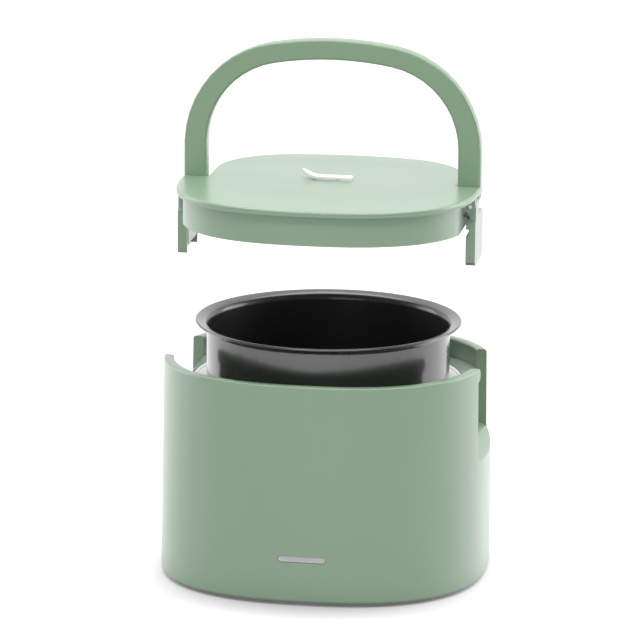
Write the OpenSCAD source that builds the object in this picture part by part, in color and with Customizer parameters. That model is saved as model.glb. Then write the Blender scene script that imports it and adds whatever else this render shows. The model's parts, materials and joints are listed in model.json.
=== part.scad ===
// Electric lunch box, drawn as it is shown off: the lid held up over the bowl,
// and the bowl lifted a little way out of its heating well.
// Millimetres, Z up, origin on the table under the middle of the housing.

/* [Bowl] */
// Radius of the bowl over its lip
bowl_rim_r = 74.9; // [66:0.1:84]
// Width of the flared lip
bowl_lip = 6.4; // [5:0.2:8]
// Height of the bowl
bowl_h = 76; // [60:1:90]
// Thickness of the bowl's wall
bowl_wall = 1.2; // [0.8:0.1:1.8]
// Rounding between the bowl's side and floor
bowl_round = 16; // [10:1:24]
// How far the bowl is lifted out of the well
bowl_lift = 31.7; // [20:0.1:60]

/* [Heating well] */
// Height of the well's floor above the table
well_floor = 34.6; // [33:0.2:45]
// Gap between the bowl's side and the well
well_gap = 1.7; // [1:0.1:3]
// Thickness of the well's sheet
well_sheet = 1.2; // [0.8:0.1:1.6]
// How far the flared ring reaches past the bowl's lip
ring_reach = 1.7; // [1.2:0.1:2.2]
// Radius of the cast heater plate
heater_r = 50; // [44:1:54]
// Thickness of the cast heater plate
heater_t = 5; // [4:0.5:6]
// Radius of the ring that the heating tube is bent to
element_r = 36; // [32:1:38]
// Radius of the heating tube
tube_r = 3.2; // [2.5:0.1:3.5]

/* [Housing] */
// How much lower the rim is behind the notches, where the folded handle lies
rear_step = 5; // [4.6:0.1:5.4]
// How much wider than deep the plan is, on each side
plan_stretch = 4.1; // [0:0.1:12]
// Exponent of the plan: 2 is an ellipse, a larger one is squarer
squareness = 2.5; // [2.4:0.05:3]
// Height of the rim above the deck
deck_drop = 16; // [14:0.5:20]
// Thickness of the deck
deck_t = 2.8; // [2.2:0.1:3.4]
// How far each side leans in between foot and rim
draft = 1.4; // [1:0.1:3]
// Thickness of the wall above the deck
rim_wall = 5.3; // [4.6:0.1:6]
// Thickness of the wall below the deck
wall = 2.8; // [2.2:0.1:3.2]
// Rounding of the rim's two edges
rim_round = 1.3; // [0.5:0.1:2]
// Rounding round the foot
foot_round = 2; // [0.8:0.1:2.2]
// Thickness of the bottom cover
cover_t = 2.6; // [2:0.2:3.2]
// How far the rubber feet stand proud
foot_h = 1.5; // [1:0.1:3]
// Radius of a rubber foot
foot_r = 7.5; // [5:0.5:9]

/* [Side notches] */
// Half the width of a notch
notch_half = 34; // [30:0.5:36]
// How far the rounded corner at the front rim leans into the notch
notch_lip = 4; // [1:0.1:5]
// Depth of the notch below the rim, down to its flat floor's end
notch_h = 47; // [44:0.5:52]
// Height of the finger scoop under it
scoop_h = 9; // [6:0.5:12]
// Middle of the notches behind the middle of the housing
notch_y = 7; // [5:0.5:9]
// Middle of the latches behind the middle of the housing
side_y = 3; // [0:0.5:5]

/* [Lid] */
// Height at which the lid is held over its closed place
lid_lift = 91.3; // [80:0.1:140]
// Thickness of the lid's plate at its edge
plate_t = 3.6; // [3:0.1:4.4]
// Thickness of the plate inside the liner
plate_skin = 2.4; // [1.8:0.1:2.8]
// How far the plate lies inside the housing's rim
plate_inset = 6.4; // [5.8:0.1:7]
// Depth of the liner under the plate
liner_h = 16.2; // [15.8:0.1:20]
// Thickness of the liner's wall
liner_wall = 1.8; // [1.4:0.1:2.2]
// How far the liner is set in from the plate's edge
liner_inset = 3.2; // [2.6:0.1:4]
// Radius of a screw post in the lid
post_r = 4; // [3.5:0.1:5]

/* [Latches] */
// Width of a latch
latch_w = 33; // [32:0.5:38]
// Height of a latch without its neck
latch_h = 27.4; // [24:0.2:30]
// Thickness of a latch
latch_t = 5.3; // [4.8:0.1:5.6]
// Width of a latch's neck
neck_w = 13.4; // [10:0.2:13.6]
// Thickness of a latch's face and ribs
latch_skin = 2; // [1.4:0.1:2.4]
// Distance of the hinge pin below the plate
hinge_drop = 3.8; // [3.4:0.1:4.4]
// Radius of the hinge barrel
barrel_r = 2.9; // [2.4:0.1:3]
// Radius of the hinge pin
pin_r = 1; // [0.8:0.05:1.3]
// Thickness of the ears that hold the pin
ear_t = 2.6; // [2:0.1:3.2]

/* [Handle] */
// Height of the arch above the plate
handle_h = 79.8; // [70:0.2:90]
// Width of the band at its legs, seen from the front
band_w = 13; // [11:0.2:13.4]
// How much narrower the band is at the crown
band_slim = 1.6; // [0:0.1:2.4]
// Depth of the band, front to back
band_d = 9; // [8.6:0.1:9.2]
// Rounding of the band's edges
band_round = 1.6; // [0.6:0.1:2.5]
// Outer radius of the arch's shoulders
shoulder_r = 59.5; // [50:0.5:64]
// Middle of the handle behind the middle of the lid
handle_y = 9.5; // [9:0.5:11]
// Radius of a pivot pin of the handle
pivot_r = 2; // [1.6:0.1:2.2]
// Gap between the folded handle and the plate inside it
handle_gap = 0.5; // [0.4:0.05:0.8]

/* [Vent flap] */
// Length of the strip
vent_len = 28.5; // [24:0.5:34]
// Width of the strip
vent_w = 9; // [7:0.5:12]
// Thickness of the strip
vent_t = 1.8; // [1.4:0.1:2.4]
// How high its pull tip curls up
vent_curl = 4.2; // [2:0.2:6]
// Radius of the steam hole
steam_r = 2.5; // [2:0.1:3]

/* [Lamp and inlet] */
// Length of the lamp's window
lamp_w = 27; // [18:0.5:34]
// Height of the lamp's window
lamp_h = 3.8; // [3:0.1:5]
// Height of the lamp above the table
lamp_z = 26.4; // [24:0.2:34]
// Height of the mains inlet above the table
inlet_z = 22; // [20:0.5:26]
// Distance between the inlet's two pins
inlet_pitch = 8.6; // [8:0.1:9]
// Radius of an inlet pin
inlet_pin_r = 1.2; // [1:0.1:1.4]

/* [Fits] */
// Gap at a loose fit in plastic
fit = 0.2; // [0.1:0.05:0.3]
// Gap left where one piece rests on another that lifts off
seat = 0.3; // [0.2:0.05:0.4]
// Gap round a pin or a screw
running = 0.04; // [0.02:0.01:0.08]

/* [Hidden] */

sage = [0.60, 0.70, 0.60];
silver = [0.80, 0.80, 0.80];
steel = [0.62, 0.63, 0.65];
black = [0.10, 0.10, 0.10];
plan_steps = 80;
eps = 0.01;

// Heights, from the well's floor upwards
bowl_z = well_floor + seat;
bowl_rim_z = bowl_z + bowl_h;
ring_rise = 1;
lip_over_deck = 2.9;
deck_z = bowl_rim_z - lip_over_deck;
housing_h = deck_z + deck_drop;
rear_h = housing_h - rear_step;
shoulder_z = deck_z - deck_t + fit;
plate_z = deck_z + ring_rise + seat + liner_h;
plate_top = plate_z + plate_t;

// Half depths of the plan, from the bowl's lip outwards; half widths are plan_stretch more
lip_gap = 0.4;
liner_b = bowl_rim_r + lip_gap + liner_wall;
plate_b = liner_b + liner_inset;
rim_b = plate_b + plate_inset;
foot_b = rim_b + draft;

// Radii round the bowl
bowl_r = bowl_rim_r - bowl_lip;
well_r = bowl_r + well_gap;
ring_r = bowl_rim_r + ring_reach;

// The handle's pivot, the inner faces of its legs, and the plate's edge just before them
pivot_z = plate_top - band_d / 2;
arch_half = plate_b + plan_stretch - 0.4;
leg_in = arch_half - band_w;
step_y = handle_y - band_d / 2 - 0.4;

// Latches and notches, as distances from the middle plane along X
latch_x = plate_b + plan_stretch - 0.5;
latch_in = latch_x - latch_t;
hinge_x = latch_x - barrel_r;
deck_edge = latch_in - seat;
lock_swing = 4.5;
latch_top = hinge_drop + 6.5;
latch_reach = latch_top + latch_h - hinge_drop;
notch_floor = latch_in - latch_reach * sin(lock_swing) - 0.5;
pocket_wall = 2.2;
notch_z = housing_h - notch_h;

// Screws, all of one size but for their length
screw_r = 1.5;
head_r = 2.9;
head_h = 1.7;

// A point of the plan outline at a polar angle, for half sizes a and b
function plan_point(a, b, angle) =
    let (n = squareness, r = pow(pow(abs(cos(angle)) / a, n) + pow(abs(sin(angle)) / b, n), -1 / n))
    [r * cos(angle), r * sin(angle)];

// A ring of the plan outline at height z, for a half depth b
function plan_ring(b, z) =
    [for (i = [0:plan_steps - 1]) let (p = plan_point(b + plan_stretch, b, 360 * i / plan_steps))
        [p[0], p[1], z]];

// How far the housing's side has leaned in at height z
function lean(z) = draft * z / housing_h;

// A ring that runs inset inside the housing's outer face at height z
function wall_ring(z, inset) = plan_ring(foot_b - lean(z) - inset, z);

// Angles of a quarter round
function quarter(steps) = [for (i = [0:steps]) 90 * i / steps];

// A solid through closed rings of points, counterclockwise seen from above and listed upwards
module skin(rings) {
    m = len(rings[0]);
    last = len(rings) - 1;
    sides = [for (j = [0:last - 1]) for (i = [0:m - 1])
        let (a = j * m + i, b = j * m + (i + 1) % m)
        each [[a, b + m, b], [a, a + m, b + m]]];
    caps = [[for (i = [0:m - 1]) i], [for (i = [m - 1:-1:0]) last * m + i]];
    polyhedron([for (ring = rings) each ring], concat(sides, caps));
}

// An upright prism with the plan outline between two heights
module plan_prism(b, z0, z1) {
    translate([0, 0, z0])
        linear_extrude(z1 - z0)
            polygon([for (i = [0:plan_steps - 1]) plan_point(b + plan_stretch, b, 360 * i / plan_steps)]);
}

// A rectangle with round corners, centred on the origin
module round_rect(w, h, r) {
    square([w - 2 * r, h], center = true);
    square([w, h - 2 * r], center = true);
    for (x = [-1, 1], y = [-1, 1])
        translate([x * (w / 2 - r), y * (h / 2 - r)])
            circle(r = r, $fn = 32);
}

// Places its children on the four corners of the plan, inset from the outer face at height z
module at_corners(z, inset, angle = 42) {
    b = foot_b - lean(z) - inset;
    p = plan_point(b + plan_stretch, b, angle);
    for (x = [-1, 1], y = [-1, 1])
        translate([x * p[0], y * p[1], 0])
            children();
}

// Repeats its children on the right and, mirrored, on the left
module both_sides() {
    for (x = [0, 1])
        mirror([x, 0, 0])
            children();
}

// A screw with its head's underside at the origin and its shank along +Z
module screw(length) {
    cylinder(r = screw_r, h = length, $fn = 32);
    difference() {
        translate([0, 0, -head_h])
            cylinder(r1 = head_r * 0.7, r2 = head_r, h = head_h, $fn = 32);
        for (turn = [0, 90])
            rotate(turn)
                translate([-head_r * 0.55, -0.35, -head_h - eps])
                    cube([head_r * 1.1, 0.7, 0.8]);
    }
}

// ---- Housing ----

// The closed outer form of the housing, with its rim at height top
module housing_form(top) {
    foot = [for (q = quarter(3)) wall_ring(foot_h + foot_round * (1 - cos(q)), foot_round * (1 - sin(q)))];
    rim = [for (q = quarter(3)) wall_ring(top - rim_round * (1 - sin(q)), rim_round * (1 - cos(q)))];
    sides = [for (z = [0.25, 0.5, 0.75]) wall_ring(housing_h * z, 0)];
    skin(concat(foot, sides, rim));
}

// What is empty inside: a wide part under the deck's shoulder and the opening above it
module housing_hollow(top) {
    mouth = [for (q = quarter(2))
        wall_ring(top - rim_round * (1 - sin(q)), rim_wall - rim_round * (1 - cos(q)))];
    skin(concat([wall_ring(0, wall), wall_ring(shoulder_z, wall), wall_ring(shoulder_z, rim_wall)],
                mouth, [wall_ring(top + 1, rim_wall - rim_round)]));
}

// The walls with the rim at height top, kept in front of the notches' middle (-1) or behind it (1)
module half_shell(top, side) {
    intersection() {
        difference() {
            housing_form(top);
            housing_hollow(top);
        }
        translate([-200, side > 0 ? notch_y : notch_y - 200, -1])
            cube([400, 200, housing_h + 2]);
    }
}

// Side view of a notch: straight sides, a rounded foot, and a lip at the front rim
module notch_front() {
    top = housing_h + 2;
    corner = 9;
    low = notch_z - scoop_h;
    difference() {
        union() {
            translate([-notch_half, low + corner])
                square([2 * notch_half, top - low - corner]);
            translate([-notch_half + corner, low])
                square([2 * (notch_half - corner), corner + eps]);
            for (y = [-1, 1])
                translate([y * (notch_half - corner), low + corner])
                    circle(r = corner, $fn = 64);
        }
        translate([-notch_half, housing_h - notch_lip + 0.1])
            circle(r = notch_lip, $fn = 48);
    }
}

// Section of a notch: the upright floor, and the scoop that runs out through the wall below it
module notch_section() {
    scoop_out = foot_b + plan_stretch - notch_floor;
    scoop_r = (scoop_out * scoop_out + scoop_h * scoop_h) / (2 * scoop_h);
    turn = asin(min(1, scoop_out / scoop_r));
    polygon(concat(
        [[notch_floor, housing_h + 2], [notch_floor, notch_z]],
        [for (i = [1:8]) let (q = turn * i / 8)
            [notch_floor + scoop_r * sin(q), notch_z - scoop_r * (1 - cos(q))]],
        [[notch_floor + scoop_out + 4, notch_z - scoop_h - 1], [notch_floor + scoop_out + 4, housing_h + 2]]));
}

// The cutter for the right-hand notch
module notch_cut() {
    intersection() {
        translate([0, notch_y + notch_half + 1, 0])
            rotate([90, 0, 0])
                linear_extrude(2 * notch_half + 2)
                    notch_section();
        translate([notch_floor - 1, notch_y, 0])
            rotate([90, 0, 90])
                linear_extrude(40)
                    notch_front();
    }
}

// The pocket moulded behind the right-hand notch, under the deck
module notch_pocket() {
    low = notch_z - scoop_h - pocket_wall;
    out = foot_b + plan_stretch - notch_floor + pocket_wall;
    translate([notch_floor - pocket_wall, notch_y - notch_half - pocket_wall, low])
        cube([out, 2 * (notch_half + pocket_wall), shoulder_z - 2 * fit - low]);
}

boss_r = 5.4;
boss_in = wall + 4.6;
tab_in = wall + 6.4;
tab_top = deck_z - 12;
tab_t = 3;
tab_r = 8.6;
lamp_y = -(foot_b - lean(lamp_z));
inlet_y = foot_b - lean(inlet_z);
lamp_boss_x = lamp_w / 2 + 8;
inlet_boss_x = 15;
inlet_back = inlet_y - wall - 2.6;
board_y = lamp_y + wall + 5.6;

module housing() {
    color(sage)
    difference() {
        union() {
            half_shell(housing_h, -1);
            half_shell(rear_h, 1);
            both_sides()
                intersection() {
                    skin([wall_ring(notch_z - scoop_h - 10, wall / 2), wall_ring(shoulder_z + 1, wall / 2)]);
                    notch_pocket();
                }
            // Posts for the bottom cover's screws
            translate([0, 0, foot_h + cover_t + 0.8])
                at_corners(foot_h, boss_in)
                    cylinder(r = boss_r, h = 20, $fn = 32);
            // Tabs that the deck is screwed down to
            translate([0, 0, tab_top - tab_t])
                at_corners(tab_top, tab_in)
                    cylinder(r = tab_r, h = tab_t, $fn = 48);
            // Short posts behind the lamp and the inlet
            for (x = [-1, 1]) {
                translate([x * lamp_boss_x, board_y, lamp_z])
                    rotate([90, 0, 0])
                        cylinder(r = 3, h = board_y - lamp_y - wall / 2 - 1, $fn = 32);
                translate([x * inlet_boss_x, inlet_y - wall / 2 - 0.4, inlet_z])
                    rotate([90, 0, 0])
                        cylinder(r = 3, h = inlet_y - wall / 2 - 0.4 - inlet_back, $fn = 32);
            }
        }
        both_sides() notch_cut();
        // Screw holes
        at_corners(foot_h, boss_in)
            translate([0, 0, foot_h])
                cylinder(r = screw_r + running, h = 18, $fn = 32);
        at_corners(tab_top, tab_in)
            translate([0, 0, tab_top - tab_t - 1])
                cylinder(r = screw_r + running, h = tab_t + 2, $fn = 32);
        for (x = [-1, 1]) {
            translate([x * lamp_boss_x, board_y + 1, lamp_z])
                rotate([90, 0, 0])
                    cylinder(r = screw_r + running, h = 6.4, $fn = 32);
            translate([x * inlet_boss_x, inlet_back + 4, inlet_z])
                rotate([90, 0, 0])
                    cylinder(r = screw_r + running, h = 5, $fn = 32);
        }
        // Window of the lamp
        translate([0, lamp_y + 8, lamp_z])
            rotate([90, 0, 0])
                linear_extrude(16)
                    round_rect(lamp_w, lamp_h, lamp_h / 2 - eps);
        // Window of the mains inlet
        translate([0, inlet_y + 8, inlet_z])
            rotate([90, 0, 0])
                linear_extrude(16)
                    round_rect(inlet_w, inlet_d, 3);
    }
}

module bottom_cover() {
    color(sage * 0.92)
    difference() {
        union() {
            z = foot_h + 0.4;
            plan_prism(foot_b - lean(z + cover_t) - wall - fit, z, z + cover_t);
            for (x = [-1, 1])
                translate([x * bridge_post_x, 0, z + cover_t - eps])
                    cylinder(r = 5, h = bridge_z - z - cover_t + eps, $fn = 48);
        }
        at_corners(foot_h, boss_in) {
            translate([0, 0, -1])
                cylinder(r = screw_r + fit, h = 12, $fn = 32);
            translate([0, 0, -1])
                cylinder(r = head_r + fit, h = foot_h + 0.4 + head_h + 1.1, $fn = 32);
        }
        for (x = [-1, 1])
            translate([x * bridge_post_x, 0, bridge_z - 8])
                cylinder(r = screw_r + running, h = 9, $fn = 32);
        at_feet()
            translate([0, 0, -1])
                cylinder(r = foot_r + running, h = foot_h + 0.4 + foot_sink + 1, $fn = 48);
    }
}

foot_sink = 0.9;

// Places its children where the four feet are
module at_feet() {
    at_corners(foot_h, 24, 50)
        children();
}

module rubber_feet() {
    color(black)
    at_feet() {
        cylinder(r1 = foot_r - 0.8, r2 = foot_r, h = 0.8, $fn = 48);
        translate([0, 0, 0.8])
            cylinder(r = foot_r, h = foot_h + 0.4 + foot_sink - 0.8, $fn = 48);
    }
}

module cover_screws() {
    color(steel)
    at_corners(foot_h, boss_in)
        translate([0, 0, foot_h + 0.5 + head_h])
            screw(12);
}

// ---- Deck and heating well ----

seal_w = 1.9;
seal_t = 0.9;
seal_proud = 0.25;
seal_r = ring_r + 0.5;
deck_hole_r = seal_r - seal_w - 0.8;

module deck() {
    color(sage * 1.1)
    difference() {
        union() {
            plan_prism(foot_b - lean(deck_z) - rim_wall - fit, deck_z - deck_t - eps, deck_z);
            plan_prism(foot_b - lean(deck_z) - wall - fit, deck_z - deck_t - 2.4, deck_z - deck_t);
            at_corners(tab_top, tab_in)
                translate([0, 0, tab_top])
                    cylinder(r = post_r, h = deck_z - deck_t - 1 - tab_top, $fn = 32);
        }
        // Hole for the well and groove for its seal
        translate([0, 0, deck_z - 20])
            cylinder(r = deck_hole_r, h = 30, $fn = 128);
        translate([0, 0, deck_z - seal_t + seal_proud])
            difference() {
                cylinder(r = seal_r + running, h = 5, $fn = 128);
                translate([0, 0, -1])
                    cylinder(r = seal_r - seal_w - running, h = 7, $fn = 128);
            }
        both_sides() {
            // Straight edge that the latch hooks under
            translate([deck_edge, notch_y - notch_half, deck_z - 10])
                cube([30, 2 * notch_half, 20]);
            // Room for the pocket under it
            translate([notch_floor - pocket_wall - fit, notch_y - notch_half - pocket_wall - fit, deck_z - 20])
                cube([30, 2 * (notch_half + pocket_wall + fit), 20 - deck_t]);
        }
        at_corners(tab_top, tab_in)
            translate([0, 0, tab_top - 1])
                cylinder(r = screw_r + running, h = 9, $fn = 32);
    }
}

module well_seal() {
    color(black)
    translate([0, 0, deck_z - seal_t + seal_proud])
        difference() {
            cylinder(r = seal_r, h = seal_t, $fn = 128);
            translate([0, 0, -1])
                cylinder(r = seal_r - seal_w, h = seal_t + 2, $fn = 128);
        }
}

well_round = bowl_round - 2;

module heating_well() {
    ring_z = deck_z + seal_proud;
    top = deck_z + ring_rise;
    throat = deck_z - 3.4;
    neck_r = deck_hole_r - fit;
    slope = (top - 0.6 - throat) / (ring_r - 1.6 - well_r);
    flat = well_r - well_round;
    color(silver)
    rotate_extrude($fn = 160)
        polygon(concat(
            [[0, well_floor - well_sheet], [flat, well_floor - well_sheet]],
            [for (q = quarter(8)) [flat + (well_round + well_sheet) * sin(q),
                                   well_floor + well_round - (well_round + well_sheet) * cos(q)]],
            [[well_r + well_sheet, throat - 0.4],
             [neck_r, throat - 0.4 + (neck_r - well_r - well_sheet) * slope],
             [neck_r, ring_z],
             [ring_r, ring_z],
             [ring_r, top - 0.4],
             [ring_r - 0.2, top - 0.1],
             [ring_r - 0.6, top],
             [ring_r - 1.3, top - 0.1],
             [well_r + 0.3, throat + 0.5],
             [well_r, throat]],
            [for (i = [8:-1:0]) let (q = 90 * i / 8) [flat + well_round * sin(q),
                                                     well_floor + well_round * (1 - cos(q))]],
            [[0, well_floor]]));
}

// ---- Heater and what hangs under it ----

heater_top = well_floor - well_sheet;
heater_z = heater_top - heater_t;
tube_z = heater_z - 1;
tube_gap = 12;
terminal_turn = tube_gap + 5;
terminal_z = tube_z - 10.4;
bridge_z = heater_z - 14.4;
bridge_t = 1.5;
bridge_post_x = 62;
clip_leg = 14;
clip_x = clip_leg + 1 + head_r + 0.5;
clip_half = clip_x + head_r + 0.6;
stud_x = 45;
stud_r = 2.2;
nut_h = 3;

module heater_plate() {
    color(silver)
    difference() {
        union() {
            translate([0, 0, heater_z])
                cylinder(r = heater_r, h = heater_t, $fn = 96);
            for (x = [-1, 1]) {
                translate([x * stud_x, 0, bridge_z + bridge_t])
                    cylinder(r = 4, h = heater_z - bridge_z - bridge_t + eps, $fn = 32);
                translate([x * stud_x, 0, bridge_z - nut_h - 1.5])
                    cylinder(r = stud_r, h = 10, $fn = 32);
            }
        }
        translate([0, 0, tube_z])
            rotate_extrude($fn = 96)
                translate([element_r, 0])
                    circle(r = tube_r + running, $fn = 32);
        for (x = [-1, 1])
            translate([x * clip_x, 0, heater_z - 1])
                cylinder(r = screw_r + running, h = 5, $fn = 32);
    }
}

module heating_tube() {
    color(steel)
    translate([0, 0, tube_z]) {
        rotate(tube_gap - 90)
            rotate_extrude(angle = 360 - 2 * tube_gap, $fn = 96)
                translate([element_r, 0])
                    circle(r = tube_r, $fn = 32);
        for (turn = [-1, 1])
            rotate(turn * terminal_turn - 90)
                translate([element_r, 0, terminal_z - tube_z])
                    cylinder(r = 1.6, h = tube_z - terminal_z, $fn = 24);
    }
}

module thermostat() {
    color([0.85, 0.83, 0.78])
    translate([0, 0, heater_z - 6.1]) {
        cylinder(r = 8, h = 4, $fn = 48);
        translate([0, 0, 3.9])
            cylinder(r = 9, h = 2.1, $fn = 48);
        for (y = [-1, 1])
            translate([-2, y > 0 ? 7 : -14, 2])
                cube([4, 7, 0.9]);
    }
}

module thermostat_clip() {
    low = heater_z - 7.2;
    color(steel)
    difference() {
        union() {
            translate([-clip_leg - 1, -4, low])
                cube([2 * clip_leg + 2, 8, 1]);
            for (x = [-1, 1]) {
                translate([x * (clip_leg + 0.5) - 0.5, -4, low])
                    cube([1, 8, heater_z - low - 0.05]);
                translate([x > 0 ? clip_leg : -clip_half, -4, heater_z - 1.05])
                    cube([clip_half - clip_leg, 8, 1]);
            }
        }
        for (x = [-1, 1])
            translate([x * clip_x, 0, low - 1])
                cylinder(r = screw_r + running, h = 12, $fn = 32);
    }
}

fuse_y = 44.5;
fuse_r = 2;
fuse_z = heater_z - fuse_r - 0.1;

module thermal_fuse() {
    color([0.75, 0.72, 0.62])
    translate([0, fuse_y, fuse_z])
        rotate([0, 90, 0]) {
            cylinder(r = fuse_r, h = 11, center = true, $fn = 32);
            cylinder(r = 0.6, h = 19, center = true, $fn = 24);
        }
}

module fuse_clip() {
    color(steel)
    difference() {
        translate([-3, fuse_y - 3.6, fuse_z - 3])
            cube([6, 7.2, heater_z - fuse_z + 3 - 0.05]);
        translate([-4, fuse_y - fuse_r - running, fuse_z])
            cube([8, 2 * (fuse_r + running), 5]);
        translate([-4, fuse_y, fuse_z])
            rotate([0, 90, 0])
                cylinder(r = fuse_r + running, h = 8, $fn = 32);
    }
}

module bridge() {
    color(steel)
    difference() {
        translate([0, 0, bridge_z])
            linear_extrude(bridge_t)
                round_rect(2 * bridge_post_x + 14, 20, 5);
        for (x = [-1, 1]) {
            translate([x * bridge_post_x, 0, bridge_z - 1])
                cylinder(r = screw_r + fit, h = 4, $fn = 32);
            translate([x * stud_x, 0, bridge_z - 1])
                cylinder(r = stud_r + running, h = 4, $fn = 32);
        }
    }
}

module heater_nuts() {
    color(steel)
    for (x = [-1, 1])
        translate([x * stud_x, 0, bridge_z - nut_h])
            difference() {
                cylinder(r = 4, h = nut_h, $fn = 6);
                translate([0, 0, -1])
                    cylinder(r = stud_r + running, h = nut_h + 2, $fn = 32);
            }
}

// The short screws that hold the deck, bridge, clip, lamp board and inlet
module inner_screws() {
    color(steel) {
        at_corners(tab_top, tab_in)
            translate([0, 0, tab_top - tab_t])
                screw(8);
        for (x = [-1, 1]) {
            translate([x * bridge_post_x, 0, bridge_z + bridge_t])
                rotate([180, 0, 0])
                    screw(8);
            translate([x * clip_x, 0, heater_z - 1.05])
                screw(4.5);
            translate([x * lamp_boss_x, board_y + 1.6, lamp_z])
                rotate([90, 0, 0])
                    screw(6);
            translate([x * inlet_boss_x, inlet_back - inlet_flange_t, inlet_z])
                rotate([-90, 0, 0])
                    screw(5);
        }
    }
}

// ---- Mains inlet and lamp ----

inlet_w = 21;
inlet_d = 13;
inlet_flange_t = 2;
inlet_len = 16;
pin_len = 10;

module mains_inlet() {
    color(black)
    difference() {
        union() {
            translate([0, inlet_y - 0.9, inlet_z])
                rotate([90, 0, 0])
                    linear_extrude(inlet_len)
                        round_rect(inlet_w - 2 * fit, inlet_d - 2 * fit, 3 - fit);
            translate([0, inlet_back, inlet_z])
                rotate([90, 0, 0])
                    linear_extrude(inlet_flange_t)
                        round_rect(2 * inlet_boss_x + 7, inlet_d + 3, 3);
        }
        translate([0, inlet_y, inlet_z])
            rotate([90, 0, 0])
                linear_extrude(pin_len + 2.4) {
                    square([inlet_pitch, 6.4], center = true);
                    for (x = [-1, 1])
                        translate([x * inlet_pitch / 2, 0])
                            circle(r = 4, $fn = 48);
                }
        for (x = [-1, 1]) {
            translate([x * inlet_pitch / 2, inlet_y, inlet_z])
                rotate([90, 0, 0])
                    cylinder(r = inlet_pin_r + running, h = 30, $fn = 32);
            translate([x * inlet_boss_x, inlet_y, inlet_z])
                rotate([90, 0, 0])
                    cylinder(r = screw_r + fit, h = 30, $fn = 32);
        }
    }
}

pin_back = inlet_y - inlet_len - 4;
lens_sunk = 0.6;

module inlet_pins() {
    color(silver)
    for (x = [-1, 1])
        translate([x * inlet_pitch / 2, pin_back, inlet_z])
            rotate([-90, 0, 0])
                cylinder(r = inlet_pin_r, h = inlet_y - 3 - pin_back, $fn = 32);
}

module lamp_lens() {
    color([0.78, 0.78, 0.84])
    translate([0, 0, lamp_z])
        rotate([90, 0, 0]) {
            translate([0, 0, -lamp_y - wall - 1])
                linear_extrude(wall + 1 - lens_sunk)
                    round_rect(lamp_w - 2 * fit, lamp_h - 2 * fit, lamp_h / 2 - fit - eps);
            translate([0, 0, -lamp_y - wall - 1.8])
                linear_extrude(1.2)
                    round_rect(lamp_w + 4, lamp_h + 4, 2);
        }
}

module lamp_board() {
    color([0.16, 0.36, 0.22])
    difference() {
        translate([-lamp_boss_x - 4, board_y + running, lamp_z - 6])
            cube([2 * lamp_boss_x + 8, 1.6 - running, 12]);
        for (x = [-1, 1])
            translate([x * lamp_boss_x, board_y + 4, lamp_z])
                rotate([90, 0, 0])
                    cylinder(r = screw_r + fit, h = 8, $fn = 32);
    }
}

module lamp_leds() {
    color([0.95, 0.93, 0.85])
    for (x = [-8, 0, 8])
        translate([x - 1.75, board_y - 1.9, lamp_z - 1.4])
            cube([3.5, 1.9 + running, 2.8]);
}

// A list of points with each corner cut to a short slope
function eased(points) = concat([points[0]],
    [for (i = [0:len(points) - 2], f = [0.25, 0.75]) points[i] + f * (points[i + 1] - points[i])],
    [points[len(points) - 1]]);

// Direction of a route at point i
function heading(points, i) =
    let (d = points[min(i + 1, len(points) - 1)] - points[max(i - 1, 0)])
    d / norm(d);

// A direction square to the route at point i, carried along so that the tube doesn't twist
function square_to(points, i) =
    let (t = heading(points, i),
         before = i == 0 ? [0.3, 0.5, 1] : square_to(points, i - 1),
         n = before - (before * t) * t)
    n / norm(n);

// One insulated wire along a list of points
module wire(points) {
    route = eased(points);
    sides = 8;
    skin([for (i = [0:len(route) - 1])
        let (t = heading(route, i), n = square_to(route, i), m = cross(t, n))
        [for (k = [0:sides - 1]) route[i] + wire_r * (n * cos(360 * k / sides) + m * sin(360 * k / sides))]]);
}

wire_r = 1.1;

module wiring() {
    pin = [inlet_pitch / 2, pin_back - 1.3, inlet_z];
    tab = [0, 15.3, heater_z - 3.6];
    lead = [10.8, fuse_y, fuse_z];
    terminal = [element_r * sin(terminal_turn), -element_r * cos(terminal_turn), terminal_z - 1.3];
    low = foot_h + 8;
    color([0.75, 0.12, 0.10]) {
        wire([[-pin[0], pin[1], pin[2]], [-9, fuse_y + 8, fuse_z - 2], [-lead[0], lead[1], lead[2]]]);
        wire([lead, [16, 36, terminal_z + 1], [8, 21, terminal_z + 1], tab]);
        wire([[tab[0], -tab[1], tab[2]], [-4, -20, terminal_z + 1], [-terminal[0], terminal[1], terminal[2]]]);
        wire([terminal, [30, -30, low + 2], [40, 20, low + 2], [20, 56, low + 3], pin]);
    }
    color(black)
        for (side = [-1, 1])
            wire([[side * 12, board_y + 3, lamp_z - 3], [side * 30, -60, low], [side * 50, -30, low],
                  [side * 50, 30, low], [side * 26, 56, low], [side * pin[0], pin[1], pin[2]]]);
}

// ---- Bowl ----

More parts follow.
